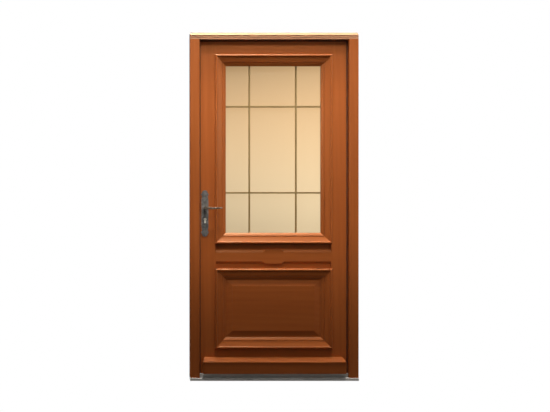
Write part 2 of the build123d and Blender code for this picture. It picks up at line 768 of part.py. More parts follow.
save(make_jamb(-1, False), "jamb_lock_side")
save(make_jamb(1, True), "jamb_hinge_side")
save(make_head(), "head")
save(make_threshold(), "threshold")
save(make_threshold_stop(), "threshold_stop")
save(make_upright_seal(-1), "seal_lock_side")
save(make_upright_seal(1), "seal_hinge_side")
save(make_level_seal(LIP_TOP + SEAL_INSET, SEAL_W), "seal_head")
save(make_level_seal(SILL_H + SILL_SEAL_RISE, SILL_SEAL_H), "seal_threshold")
save(make_lock_stile(), "stile_lock_side")
save(make_hinge_stile(), "stile_hinge_side")
save(make_rail(GLASS_TOP + MOULD_INNER, LEAF_TOP), "rail_top")
save(make_middle_rail(), "rail_middle")
save(make_rail(LEAF_BOTTOM, PANEL_Z - MOULD_INNER), "rail_bottom")
save_moulding_frame("glass_moulding_outer", GLASS_Z, GLASS_TOP, LEAF_FRONT, OUT, OUTER_PROJECTION)
save_moulding_frame("glass_moulding_inner", GLASS_Z, GLASS_TOP, LEAF_BACK, IN, INNER_PROJECTION)
save_moulding_frame("panel_moulding_outer", PANEL_Z, PANEL_TOP, LEAF_FRONT, OUT, OUTER_PROJECTION)
save_moulding_frame("panel_moulding_inner", PANEL_Z, PANEL_TOP, LEAF_BACK, IN, INNER_PROJECTION)
save(make_pane(UNIT_FRONT), "pane_outer")
save(make_pane(UNIT_BACK - PANE_T), "pane_inner")
save(make_spacer(), "glazing_spacer")
save(make_bars(), "glazing_bars")
save(make_panel(), "raised_panel")
save(make_weatherboard(), "weatherboard")
save(make_plate(LEAF_FRONT, 1), "handle_plate_outer")
save(make_plate(LEAF_BACK, -1), "handle_plate_inner")
save(make_cylinder(), "lock_cylinder")
save(make_faceplate(), "lock_faceplate")
save(make_bolt(LEVER_Z), "latch")
save(make_bolt(CYLINDER_Z), "deadbolt")
save(make_strike(), "strike_plate")
save(make_lever(LEAF_FRONT, -1), "lever_outer")
save(make_lever(LEAF_BACK, 1), "lever_inner")
save(make_spindle(), "lever_spindle")
for place, height in zip(("low", "middle", "high"), HINGE_ZS):
    save(make_hinge_half(height, False), f"hinge_frame_half_{place}")
    save(make_hinge_half(height, True), f"hinge_leaf_half_{place}")
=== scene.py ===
# %% [markdown]
# A glazed entrance door, dressed for a portrait from outside.
# The joinery, the panes and the hardware come in as fixed solids, each already in its place.
# This lesson gives every one of them a finish, adds the small fittings that a joiner puts in last,
# and lights the door so that its mouldings read. All lengths are in metres.

# %% Load the solids
import math

import bmesh
import bpy
from mathutils import Matrix, Vector


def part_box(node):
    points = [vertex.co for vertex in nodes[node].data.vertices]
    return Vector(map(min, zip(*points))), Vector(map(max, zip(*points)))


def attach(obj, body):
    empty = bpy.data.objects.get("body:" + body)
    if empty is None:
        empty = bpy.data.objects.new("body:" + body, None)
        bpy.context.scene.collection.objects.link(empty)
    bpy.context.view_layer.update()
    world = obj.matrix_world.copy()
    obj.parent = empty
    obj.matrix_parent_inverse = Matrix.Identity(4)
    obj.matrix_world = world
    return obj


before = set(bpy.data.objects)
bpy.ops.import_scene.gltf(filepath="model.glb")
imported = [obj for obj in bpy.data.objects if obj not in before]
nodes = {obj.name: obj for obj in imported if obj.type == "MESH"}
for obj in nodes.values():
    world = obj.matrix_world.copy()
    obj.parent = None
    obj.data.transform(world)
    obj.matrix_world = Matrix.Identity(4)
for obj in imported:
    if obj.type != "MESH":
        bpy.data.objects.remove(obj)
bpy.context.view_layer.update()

# %% [markdown]
# A finish is a small network of nodes. Written out one node at a time it is long and hard to read,
# so a socket is wrapped in a class that knows arithmetic: an expression such as 1 - grain * 0.3
# then adds its own Math nodes. Each operator that the finishes use comes with its reflected form,
# so that a plain number may stand on either side.


# %% Sockets that can be added and multiplied
class Wire:
    """One output socket of a network, with arithmetic that adds Math nodes."""

    def __init__(self, network, socket):
        self.network = network
        self.socket = socket

    def maths(self, operation, *values, clamp=False):
        settings = {"operation": operation, "use_clamp": clamp}
        return self.network.add("ShaderNodeMath", settings, dict(enumerate(values)))[0]

    def __add__(self, other):
        return self.maths("ADD", self, other)

    def __radd__(self, other):
        return self.maths("ADD", other, self)

    def __sub__(self, other):
        return self.maths("SUBTRACT", self, other)

    def __rsub__(self, other):
        return self.maths("SUBTRACT", other, self)

    def __mul__(self, other):
        return self.maths("MULTIPLY", self, other)

    def __rmul__(self, other):
        return self.maths("MULTIPLY", other, self)

    def __pow__(self, other):
        return self.maths("POWER", self, other)

    def __rpow__(self, other):
        return self.maths("POWER", other, self)

    def larger(self, other):
        return self.maths("MAXIMUM", self, other)

    def clamped(self):
        return self.maths("ADD", self, 0.0, clamp=True)

    def between(self, low, high):
        """0 below low, 1 above high, and smooth between them."""
        settings = {"interpolation_type": "SMOOTHSTEP"}
        inputs = {"Value": self, "From Min": low, "From Max": high}
        return self.network.add("ShaderNodeMapRange", settings, inputs)[0]


class Outputs:
    """A node's outputs, by number or by name."""

    def __init__(self, network, node):
        self.network = network
        self.node = node

    def __getitem__(self, key):
        return Wire(self.network, self.node.outputs[key])


def rgba(colour):
    """A colour as a socket takes it, quite opaque. A wire stays as it is."""
    return colour if isinstance(colour, Wire) else (*colour, 1.0)


# %% [markdown]
# Everything that isn't arithmetic comes from one method, which takes the kind of node, its settings
# and what its sockets hold. The settings are made first, because some of them change the sockets.
# A few short methods on top of it cover what every finish needs: a place to read the pattern from,
# noise, a mix of two colours, a ramp of several, bump, and the surface at the end.


# %% A network of nodes
COLOUR_INPUTS = ("Base Color", "Emission Color", "Specular Tint")
# A Mix node has sockets for numbers, vectors and colours. These are its share and its colours.
MIX_INPUTS = (0, 6, 7)
MIX_OUTPUT = 2


class Network:
    """The nodes of a material or of the world, all added through one method."""

    def __init__(self, owner):
        owner.use_nodes = True
        self.owner = owner
        self.tree = owner.node_tree
        self.tree.nodes.clear()

    def add(self, kind, settings=None, inputs=None):
        """A node of this kind, its settings made first, then its values and links; its outputs."""
        node = self.tree.nodes.new(kind)
        for key, value in (settings or {}).items():
            if key == "stops":
                self.set_stops(node.color_ramp, value)
            else:
                setattr(node, key, value)
        for key, value in (inputs or {}).items():
            if isinstance(value, Wire):
                self.tree.links.new(value.socket, node.inputs[key])
            else:
                node.inputs[key].default_value = value
        return Outputs(self, node)

    def set_stops(self, ramp, colours):
        """Spread some colours evenly over a ramp."""
        last = len(colours) - 1
        while len(ramp.elements) < len(colours):
            ramp.elements.new(0.5)
        for index, (element, colour) in enumerate(zip(ramp.elements, colours)):
            element.position = index / last
            element.color = rgba(colour)

    def place(self, scale=(1, 1, 1)):
        """The object's own coordinates, scaled."""
        where = self.add("ShaderNodeTexCoord")["Object"]
        return self.add("ShaderNodeMapping", None, {"Vector": where, "Scale": scale})[0]

    def noise(self, where, detail=3.0, roughness=0.5, distortion=0.0):
        values = {"Vector": where, "Scale": 1.0, "Detail": detail}
        values.update({"Roughness": roughness, "Distortion": distortion})
        return self.add("ShaderNodeTexNoise", None, values)[0]

    def ramp(self, share, colours):
        """A colour that runs through several colours."""
        return self.add("ShaderNodeValToRGB", {"stops": colours}, {0: share})[0]

    def mix(self, share, first, second):
        """A colour between two colours."""
        inputs = dict(zip(MIX_INPUTS, (share, rgba(first), rgba(second))))
        return self.add("ShaderNodeMix", {"data_type": "RGBA"}, inputs)[MIX_OUTPUT]

    def bump(self, height, distance, strength):
        values = {"Height": height, "Distance": distance, "Strength": strength}
        return self.add("ShaderNodeBump", None, values)[0]

    def surface(self, **inputs):
        """Ends the network in one Principled surface, its inputs given by name."""
        values = {}
        for key, value in inputs.items():
            name = key.replace("_", " ").title().replace("Ior", "IOR")
            values[name] = rgba(value) if name in COLOUR_INPUTS else value
        self.end(self.add("ShaderNodeBsdfPrincipled", None, values)[0])

    def end(self, shader, kind="ShaderNodeOutputMaterial"):
        self.add(kind, None, {"Surface": shader})


def new_finish(name):
    """The empty network of a new material."""
    return Network(bpy.data.materials.new(name))


def give(material, *names):
    """Put one finish on some of the solids."""
    for name in names:
        data = nodes[name].data
        data.materials.clear()
        data.materials.append(material)


# %% [markdown]
# The door is pine under a honey-brown satin stain. Its grain follows each length of timber, so
# the same recipe is made with the fibres upright, for stiles and jambs, and with them level, for
# rails. The head has its own level timber, paler on the outer side: that paler stain is a painted
# sheen, where the light glares on the head. The pattern is built from the real scales: broad bands
# of growth, fine fibres, and short dark pores. Stretching the object's coordinates along the fibre
# does all of it, and because every piece has its own place, no two pieces show the same figure.


# %% Stained timber
# The axis that a rail runs along, and the one that a stile runs along
LEVEL, UPRIGHT = 0, 2
HONEY_STAIN = ((0.370, 0.088, 0.018), (0.430, 0.107, 0.022), (0.485, 0.128, 0.028))
# A paler stain for the head's outer side: painted sheen of the light on the head
SHEEN_PAINTED_STAIN = ((0.460, 0.225, 0.120), (0.530, 0.270, 0.150), (0.590, 0.315, 0.180))
SHEEN_TINT = (1.0, 0.84, 0.52)
# Repeats of each pattern in a metre, along the fibres and across them
DRIFT = (0.7, 3.0)
GROWTH = (1.1, 24.0)
RINGS = (0.5, 17.0)
FIBRES = (5.0, 520.0)
PORES = (60.0, 1500.0)
TONE_RANGE = (0.28, 0.72)
PORE_RANGE = (0.62, 0.74)
PORE_SHARE = 0.22
PORE_DARKNESS = 0.6
# Depths from the frame's middle plane, over which the painted-sheen stain turns to honey
SHEEN_DEPTHS = (0.022, 0.045)


def timber(name, fibre_axis, with_painted_sheen=False):
    """Stained softwood, its fibres along one axis; if asked, its outer side is paler, a painted
    sheen.
    """
    wood = new_finish(name)

    def stretched(repeats):
        along, across = repeats
        return wood.place(tuple(along if axis == fibre_axis else across for axis in range(3)))

    drift = wood.noise(stretched(DRIFT), detail=2.0)
    bands = wood.noise(stretched(GROWTH), detail=4.0, roughness=0.55, distortion=0.6)
    rings = wood.add("ShaderNodeTexWave", {"wave_type": "BANDS", "bands_direction": "DIAGONAL"}, {
        "Vector": stretched(RINGS),
        "Scale": 1.0,
        "Distortion": 7.0,
        "Detail": 3.0,
        "Detail Scale": 0.7,
    })["Fac"]
    fibres = wood.noise(stretched(FIBRES), detail=5.0, roughness=0.65)
    pores = wood.noise(stretched(PORES), detail=2.0).between(*PORE_RANGE)
    tone = (0.38 * drift + 0.30 * bands + 0.06 * rings + 0.26 * fibres).between(*TONE_RANGE)
    shade = wood.ramp(tone, HONEY_STAIN)
    if with_painted_sheen:
        # Painted sheen: in front of these depths the head takes the paler stain
        depth = wood.add("ShaderNodeSeparateXYZ", None, {0: wood.place()})["Y"]
        shade = wood.mix(depth.between(*SHEEN_DEPTHS), wood.ramp(tone, SHEEN_PAINTED_STAIN), shade)
    pore_colour = tuple(PORE_DARKNESS * c for c in HONEY_STAIN[0])
    wood.surface(
        base_color=wood.mix(PORE_SHARE * pores, shade, pore_colour),
        roughness=0.32 + 0.12 * bands + 0.10 * pores,
        normal=wood.bump(0.7 * fibres - 0.5 * pores, 0.0001, 0.14),
        coat_weight=0.05,
        coat_roughness=0.25,
        specular_ior_level=0.5,
        specular_tint=SHEEN_TINT,
    )
    return wood.owner


upright_timber = timber("stained_pine_upright", UPRIGHT)
level_timber = timber("stained_pine_level", LEVEL)
# The head's paler outer side is a painted sheen of light
head_timber_painted_sheen = timber("pine_level_painted_sheen", LEVEL, with_painted_sheen=True)

upright_nodes = [n for n in nodes if n.startswith(("jamb", "stile"))]
upright_nodes += [n for n in nodes if n.endswith(("_left", "_right"))]
level_nodes = [n for n in nodes if n.startswith("rail")] + ["raised_panel", "weatherboard"]
level_nodes += [n for n in nodes if n.endswith(("_top", "_bottom"))]
give(upright_timber, *upright_nodes)
give(level_timber, *level_nodes)
give(head_timber_painted_sheen, "head")
print("upright pieces:", len(upright_nodes), "level pieces:", len(level_nodes), "painted sheen: head")

# %% [markdown]
# The glazed light is a sealed unit: a clear pane outside, a frosted pane inside, and flat bars of
# bronze-coloured metal held between the two. A clear pane in a real scene lets lamps shine through
# to what is behind it. A refracting shader would throw a dark shadow there, so the clear pane is
# a mix of plain transparency and gloss. The share of gloss follows the usual rule for glass: 4 %
# straight on, and more and more as the angle gets low. It is the same from both sides of the pane.


# %% Clear pane
FACE_GLOSS = 0.04
CLEAR_TINT = (0.96, 0.97, 0.95)
CLEAR_BODY = (0.02, 0.02, 0.02)


def clear_pane():
    """Thin clear glass: seen through, with a reflection that grows at a low angle."""
    glass = new_finish("clear_glass")
    ripple = glass.noise(glass.place((3.0, 3.0, 2.0)), detail=1.0)
    through = glass.add("ShaderNodeBsdfTransparent", None, {"Color": rgba(CLEAR_TINT)})[0]
    gloss = glass.add("ShaderNodeBsdfPrincipled", None, {
        "Base Color": rgba(CLEAR_BODY),
        "Metallic": 0.0,
        "Roughness": 0.04,
        "Specular IOR Level": 1.0,
        "Normal": glass.bump(ripple, 0.0006, 0.3),
    })[0]
    facing = glass.add("ShaderNodeLayerWeight", None, {"Blend": 0.5})["Facing"]
    edge = FACE_GLOSS + (1 - FACE_GLOSS) * facing ** 5.0
    glass.end(glass.add("ShaderNodeMixShader", None, {0: edge, 1: through, 2: gloss})[0])
    return glass.owner


give(clear_pane(), "pane_outer")
print("clear: pane_outer, gloss straight on:", FACE_GLOSS)

# %% [markdown]
# The inner pane is etched. Its glow is painted light: the pane itself emits it, in place of a warm
# room lit behind it. The glow is brightest at chest height and falls off with the square of the
# distance from there. It is a little stronger on the right, and its colour turns from cream at the
# foot to amber at the top.


# %% Frosted pane
GLOW_LOW = (1.0, 0.755, 0.475)
GLOW_HIGH = (1.0, 0.63, 0.325)
BLACK = (0.0, 0.0, 0.0)
GLASS_BODY = (0.12, 0.095, 0.07)
GLOW_HEIGHT = 1.38
GLOW_PEAK = 0.92
GLOW_TO_RIGHT = 0.30
CLOUDINESS = 0.08
AMBER_HEIGHTS = (0.95, 1.85)


def frosted_pane_painted_glow():
    """Etched glass glowing with painted backlight: cream below, amber above, brighter to the right.
    """
    glass = new_finish("frosted_glass_painted_glow")
    where = glass.add("ShaderNodeSeparateXYZ", None, {0: glass.place()})
    cloud = glass.noise(glass.place((1.4, 1.4, 1.1)), detail=2.0)
    grain = glass.noise(glass.place((900.0, 900.0, 900.0)), detail=2.0)
    # Painted backlight: the emission stands in for a lit room behind the pane
    fall = (where["Z"] - GLOW_HEIGHT) ** 2.0
    glow = GLOW_PEAK + GLOW_TO_RIGHT * where["X"] - fall + CLOUDINESS * (cloud - 0.5)
    tint = glass.mix(where["Z"].between(*AMBER_HEIGHTS), GLOW_LOW, GLOW_HIGH)
    glass.surface(
        base_color=GLASS_BODY,
        roughness=0.55,
        normal=glass.bump(grain, 0.0002, 0.25),
        emission_color=glass.mix(glow.clamped(), BLACK, tint),
        emission_strength=1.0,
    )
    return glass.owner


give(frosted_pane_painted_glow(), "pane_inner")
print("frosted: pane_inner, brightest at", GLOW_HEIGHT)

# %% [markdown]
# Metals are told apart by how they were worked. The plates are iron with an antique grey finish:
# dark in the hollows, rubbed paler on the high spots, and slightly uneven. The levers are the same
# iron, rubbed warmer by hands, and the hinges are nearly black. The profile cylinder is satin
# brass. The threshold is drawn aluminium, so its fine lines run along its length. The spacer and
# the bars between the panes are drawn too, and the lock plates and bolts are brushed steel.


# %% Worked metals
# How many times finer the small mottle is than the large one
FINER = 9
# Repeats of the drawn lines in a metre, along them and across them
DRAWN_LINES = (6.0, 900.0)


def worn_metal(name, dark, pale, roughness, lump, bump, metallic=0.9):
    """Metal with a mottled surface: dark hollows and paler high spots."""
    metal = new_finish(name)
    mottle = metal.noise(metal.place((lump, lump, lump)), detail=5.0, roughness=0.6)
    fine = metal.noise(metal.place((lump * FINER, lump * FINER, lump * FINER)))
    wear = (0.75 * mottle + 0.25 * fine).between(0.38, 0.66)
    metal.surface(
        base_color=metal.mix(wear, dark, pale),
        metallic=metallic,
        roughness=roughness + 0.2 * (1 - wear),
        normal=metal.bump(0.8 * mottle + 0.2 * fine, bump, 0.6),
    )
    return metal.owner


def drawn_metal(name, dark, pale, roughness, line_axis, metallic=0.85):
    """Metal with fine lines along one axis, as drawing or brushing leaves them."""
    metal = new_finish(name)
    along, across = DRAWN_LINES
    scale = tuple(along if axis == line_axis else across for axis in range(3))
    lines = metal.noise(metal.place(scale), detail=4.0, roughness=0.7)
    stain = metal.noise(metal.place((9.0, 9.0, 9.0)), detail=4.0)
    tone = (0.6 * lines + 0.4 * stain).between(0.35, 0.65)
    metal.surface(
        base_color=metal.mix(tone, dark, pale),
        metallic=metallic,
        roughness=roughness + 0.15 * stain,
        normal=metal.bump(lines, 0.0001, 0.4),
    )
    return metal.owner


antique_iron = worn_metal(
    "antique_iron", (0.15, 0.146, 0.14), (0.33, 0.32, 0.306),
    roughness=0.45, lump=40.0, bump=0.0001, metallic=0.7)
rubbed_iron = worn_metal(
    "rubbed_iron", (0.14, 0.12, 0.095), (0.33, 0.285, 0.22),
    roughness=0.42, lump=70.0, bump=0.0002, metallic=0.7)
hinge_iron = worn_metal(
    "hinge_iron", (0.030, 0.027, 0.024), (0.095, 0.086, 0.075),
    roughness=0.45, lump=90.0, bump=0.0003)
satin_brass = worn_metal(
    "satin_brass", (0.74, 0.70, 0.58), (0.92, 0.89, 0.80),
    roughness=0.40, lump=200.0, bump=0.0001, metallic=0.15)
bar_bronze = drawn_metal(
    "bronze_bars", (0.44, 0.27, 0.10), (0.58, 0.38, 0.17),
    roughness=0.50, line_axis=UPRIGHT, metallic=0.15)
sill_aluminium = drawn_metal(
    "mill_aluminium", (0.64, 0.64, 0.62), (0.78, 0.78, 0.76),
    roughness=0.50, line_axis=LEVEL, metallic=0.2)
dark_aluminium = drawn_metal(
    "dark_aluminium", (0.035, 0.035, 0.035), (0.07, 0.068, 0.065),
    roughness=0.45, line_axis=LEVEL)
lock_steel = drawn_metal(
    "brushed_steel", (0.40, 0.40, 0.39), (0.60, 0.60, 0.58),
    roughness=0.32, line_axis=UPRIGHT)

for metal, names in (
    (antique_iron, ("handle_plate_outer", "handle_plate_inner")),
    (rubbed_iron, ("lever_outer", "lever_inner")),
    (hinge_iron, [n for n in nodes if n.startswith("hinge")]),
    (satin_brass, ("lock_cylinder",)),
    (bar_bronze, ("glazing_bars",)),
    (sill_aluminium, ("threshold", "threshold_stop")),
    (dark_aluminium, ("glazing_spacer",)),
    (lock_steel, ("lock_faceplate", "strike_plate", "latch", "deadbolt", "lever_spindle")),
):
    give(metal, *names)
    print(metal.name, "pieces:", len(names))

# %% [markdown]
# The seals are strips of brown rubber, chosen to go with the stain. Rubber isn't one colour all
# over: handling and dust leave it paler in patches, and its surface is dull with a faint grain.


# %% Rubber seals
CLEAN_RUBBER = (0.085, 0.028, 0.009)
DUSTY_RUBBER = (0.15, 0.055, 0.020)


def rubber():
    """Dull brown rubber, matched to the stain, with a film of dust."""
    strip = new_finish("seal_rubber")
    dust = strip.noise(strip.place((40.0, 40.0, 12.0)), detail=4.0)
    grain = strip.noise(strip.place((700.0, 700.0, 700.0)), detail=2.0)
    strip.surface(
        base_color=strip.mix(dust.between(0.45, 0.75), CLEAN_RUBBER, DUSTY_RUBBER),
        roughness=0.62 + 0.2 * dust,
        normal=strip.bump(grain, 0.0002, 0.3),
    )
    return strip.owner


seal_rubber = rubber()
seal_nodes = [n for n in nodes if n.startswith("seal")]
give(seal_rubber, *seal_nodes)
print("seals:", seal_nodes)

# %% [markdown]
# The small fittings come next. Each one is worked on as a bmesh, which is a mesh that operators
# such as spin, inset and extrude can shape. When it is done it becomes an object of the scene. The
# object itself stays at the origin, unturned, and the place of the piece is in its mesh.


# %% From a worked mesh to a piece
def new_piece(name, form, finish):
    """A worked mesh becomes an object of the scene, with one finish."""
    data = bpy.data.meshes.new(name)
    form.to_mesh(data)
    form.free()
    data.materials.append(finish)
    piece = bpy.data.objects.new(name, data)
    bpy.context.scene.collection.objects.link(piece)
    print(name, "faces:", len(data.polygons))
    return piece


# %% [markdown]
# Screws hold the fittings on, and they show when the leaf stands open. One countersunk head is
# turned on a lathe, so here it is spun: a short profile from the rim to the crown goes round its
# axis. The hole that is left in the crown is filled, and that face is inset. On the real screw the
# middle is sunk, as the socket for the driver. Here it stands up as a small round nub, because the
# filled face still looks down into the head when it is inset.


# %% One countersunk screw head
SCREW_R = 0.0042
SCREW_RISE = 0.0006
SCREW_STEPS = 20
# Shares of the radius: where the dome ends, the crown, and how far the nub draws in from it
DOME_SHARE = 0.92
CROWN_SHARE = 0.35
NUB_INSET = 0.12
# Multiples of the rise: how high the crown is, and the nub on it
CROWN_RISE = 1.3
NUB_RISE = 1.6


def screw_mesh(radius):
    """A screw head that faces +Z from the origin, domed, with a round nub on its crown."""
    head = bmesh.new()
    dome = (radius * DOME_SHARE, SCREW_RISE)
    crown_edge = (radius * CROWN_SHARE, SCREW_RISE * CROWN_RISE)
    points = [head.verts.new((r, 0, z)) for r, z in ((radius, 0.0), dome, crown_edge)]
    edges = [head.edges.new(pair) for pair in zip(points, points[1:])]
    bmesh.ops.spin(
        head, geom=points + edges, cent=(0, 0, 0), axis=(0, 0, 1), angle=math.tau,
        steps=SCREW_STEPS, use_merge=True, use_duplicate=False,
    )
    upper_rim = [e for e in head.edges if e.is_boundary and e.verts[0].co.z > 0]
    bmesh.ops.holes_fill(head, edges=upper_rim, sides=SCREW_STEPS)
    crown = max(head.faces, key=lambda f: len(f.verts))
    # The crown looks down until the normals are recalculated, so a depth below zero lifts it
    bmesh.ops.inset_region(
        head, faces=[crown], thickness=radius * NUB_INSET, depth=-SCREW_RISE * NUB_RISE)
    bmesh.ops.recalc_face_normals(head, faces=head.faces)
    return head


# %% [markdown]
# Every screw of the door is a copy of that head, turned to face the way its plate faces. All the
# screws of a plate are one piece: the head is stamped into a common mesh once for each spot, and
# only the vertices that are new each time are turned and moved there.


# %% The screws of one plate
def place_screws(name, body, facing, spots, finish, radius=SCREW_R):
    """One piece holding a copy of the screw at each spot, all facing one way."""
    turn = Vector((0, 0, 1)).rotation_difference(Vector(facing)).to_matrix().to_4x4()
    stamp = bpy.data.meshes.new(name + "_one")
    one = screw_mesh(radius)
    one.to_mesh(stamp)
    one.free()
    group = bmesh.new()
    for spot in spots:
        before = set(group.verts)
        group.from_mesh(stamp)
        fresh = [v for v in group.verts if v not in before]
        bmesh.ops.transform(group, matrix=Matrix.Translation(spot) @ turn, verts=fresh)
    bpy.data.meshes.remove(stamp)
    piece = new_piece(name, group, finish)
    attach(piece, body)


# %% [markdown]
# Each hinge plate is held by four screws in two staggered columns, so that they don't split the
# timber along one line of grain. Their places are measured from the plate's own box. The plates in
# the frame are let in flush, as far out as the strike plate is on the other side, and those on the
# leaf are flush with the edge of its stile.


# %% Screws in the hinges
NEAR_COLUMN = 0.010
FAR_COLUMN = 0.024
OUTER_ROW = 0.042
INNER_ROW = 0.018


def hinge_screw_spots(node, x):
    """Four spots in two staggered columns on a hinge plate."""
    low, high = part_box(node)
    middle = (low.z + high.z) / 2
    near, far = low.y + NEAR_COLUMN, low.y + FAR_COLUMN
    staggered = ((near, -OUTER_ROW), (far, -INNER_ROW), (far, INNER_ROW), (near, OUTER_ROW))
    return [(x, y, middle + rise) for y, rise in staggered]


frame_x = -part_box("strike_plate")[1].x
leaf_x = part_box("stile_hinge_side")[1].x
for level in ("low", "middle", "high"):
    for body, x, facing in (("frame", frame_x, -1), ("leaf", leaf_x, 1)):
        spots = hinge_screw_spots(f"hinge_{body}_half_{level}", x)
        place_screws(
            f"screws_{body}_{level}", body, (facing, 0, 0), spots, hinge_iron)

# %% [markdown]
# A lock plate has one screw near either end, and so has the inner handle plate. The screws of the
# handle are a little smaller. They go through the leaf and hold the outer plate too, so no screw
# shows outside.

# %% Screws in the lock plates and the inner handle plate
LOCK_SCREW_INSET = 0.014
HANDLE_SCREW_INSET = 0.013
HANDLE_SCREW_R = 0.0038

for node, body, facing in (("lock_faceplate", "leaf", -1), ("strike_plate", "frame", 1)):
    low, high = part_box(node)
    face_x = low.x if facing < 0 else high.x
    middle_y = (low.y + high.y) / 2
    heights = (low.z + LOCK_SCREW_INSET, high.z - LOCK_SCREW_INSET)
    spots = [(face_x, middle_y, z) for z in heights]
    place_screws(f"screws_{node}", body, (facing, 0, 0), spots, lock_steel)

low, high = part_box("handle_plate_inner")
plate_x = (low.x + high.x) / 2
heights = (low.z + HANDLE_SCREW_INSET, high.z - HANDLE_SCREW_INSET)
spots = [(plate_x, high.y, z) for z in heights]
place_screws(
    "screws_handle_inner", "leaf", (0, 1, 0), spots, antique_iron, HANDLE_SCREW_R)

# %% [markdown]
# Where a pane meets its moulding, the glazier runs a thin bead of brown sealant. The bead is meant
# as a flat ring: one face is inset, the middle is deleted, and the band that is left is given a
# thickness, away from the glass. An inset goes by the face's normal, and a face that is made from
# its corners has none until normal_update is called. Without that call the band has no width here,
# and only its thickness is left: a thin rim that stands on the pane along the moulding.


# %% Sealant round the panes
BEAD_W = 0.0022
BEAD_T = 0.0006
DARK_SEALANT = (0.030, 0.013, 0.006)
PALE_SEALANT = (0.065, 0.028, 0.012)


def sealant_finish():
    """Brown sealant, slightly glossy, pulled in short ripples by the tool."""
    bead = new_finish("brown_sealant")
    ripple = bead.noise(bead.place((120.0, 120.0, 120.0)))
    bead.surface(
        base_color=bead.mix(ripple, DARK_SEALANT, PALE_SEALANT),
        roughness=0.45 + 0.2 * ripple,
        normal=bead.bump(ripple, 0.0002, 0.4),
    )
    return bead.owner


sealant = sealant_finish()


def sealant_ring(name, y, outward, low, high):
    """A thin rim of sealant on a pane, along the moulding's sight edge."""
    ring = bmesh.new()
    corners = [(low.x, y, low.z), (high.x, y, low.z), (high.x, y, high.z), (low.x, y, high.z)]
    face = ring.faces.new([ring.verts.new(c) for c in corners])
    bmesh.ops.inset_region(ring, faces=[face], thickness=BEAD_W, use_boundary=True)
    bmesh.ops.delete(ring, geom=[face], context="FACES_ONLY")
    out = bmesh.ops.extrude_face_region(ring, geom=list(ring.faces))
    lifted = [v for v in out["geom"] if isinstance(v, bmesh.types.BMVert)]
    bmesh.ops.translate(ring, verts=lifted, vec=(0, outward * BEAD_T, 0))
    bmesh.ops.recalc_face_normals(ring, faces=ring.faces)
    piece = new_piece(name, ring, sealant)
    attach(piece, "leaf")


sight_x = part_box("glass_moulding_outer_left")[1].x
top_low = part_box("glass_moulding_outer_top")[0]
base_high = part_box("glass_moulding_outer_bottom")[1]
sight_low = Vector((sight_x, 0, base_high.z))
sight_high = Vector((-sight_x, 0, top_low.z))
sealant_ring("sealant_outer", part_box("pane_outer")[0].y, -1, sight_low, sight_high)
sealant_ring("sealant_inner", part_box("pane_inner")[1].y, 1, sight_low, sight_high)

# %% [markdown]
# The rebate seals have a soft lip that peeps out between the frame and the leaf. Its thin dark line
# round the leaf is partly painted shade: it stands for the shadow in the gap between frame and
# leaf. A lip is one bent tongue of rubber: its section is written as a few points, from the root
# behind the frame's edge to the tip just short of the leaf, and the section is swept in a straight
# line along the jamb or the head.


# %% Seal lips round the leaf
LIP_SECTION = ((-0.0020, 0.0004), (0.0020, 0.0010), (0.0050, 0.0024), (0.0065, 0.0038))
LIP_T = 0.0009
# How deep the head's seal is let in, and the room between the side lips and the threshold's stop
SEAL_LET_IN = 0.002
LIP_FOOT_ROOM = 0.001


def seal_lip_and_shade_line(name, place_of, low, high):
    """A rubber tongue swept from low to high; place_of turns section and length into a point."""
    strip = bmesh.new()
    outline = list(LIP_SECTION) + [(u, v + LIP_T) for u, v in reversed(LIP_SECTION)]
    face = strip.faces.new([strip.verts.new(place_of(u, v, low)) for u, v in outline])
    out = bmesh.ops.extrude_face_region(strip, geom=[face], use_keep_orig=True)
    lifted = [v for v in out["geom"] if isinstance(v, bmesh.types.BMVert)]
    step = Vector(place_of(0, 0, high)) - Vector(place_of(0, 0, low))
    bmesh.ops.translate(strip, verts=lifted, vec=step)
    bmesh.ops.recalc_face_normals(strip, faces=strip.faces)
    piece = new_piece(name, strip, seal_rubber)
    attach(piece, "frame")


edge_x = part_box("jamb_hinge_side")[0].x
rebate_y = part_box("seal_head")[0].y
head_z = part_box("seal_head")[0].z - SEAL_LET_IN
foot_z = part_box("threshold_stop")[1].z + LIP_FOOT_ROOM
reach = edge_x - LIP_SECTION[-1][0]
# The lips' dark line stands partly for painted shade in the gap round the leaf
seal_lip_and_shade_line("seal_lip_lock_side", lambda u, v, z: (u - edge_x, rebate_y + v, z), foot_z, head_z)
seal_lip_and_shade_line("seal_lip_hinge_side", lambda u, v, z: (edge_x - u, rebate_y + v, z), foot_z, head_z)
seal_lip_and_shade_line("seal_lip_head", lambda u, v, x: (x, rebate_y + v, head_z - u), -reach, reach)

# %% [markdown]
# A portrait of a door is taken square on, so that its uprights stay upright. The camera stands a
# little left of the door, a metre above the ground, and doesn't turn: its lens is shifted instead,
# which moves the picture without bending it. The numbers come from the size of the frame in the
# picture.


# %% Camera
PICTURE_W = 550.0
METRES_PER_PIXEL = 0.0061733
DOOR_MIDDLE_PX = 274.4
DOOR_FOOT_PX = 380.67
PICTURE_MIDDLE = (275.0, 206.0)
CAMERA_X = -0.72
CAMERA_Z = 1.00
CAMERA_DISTANCE = 3.6
SENSOR = 36.0

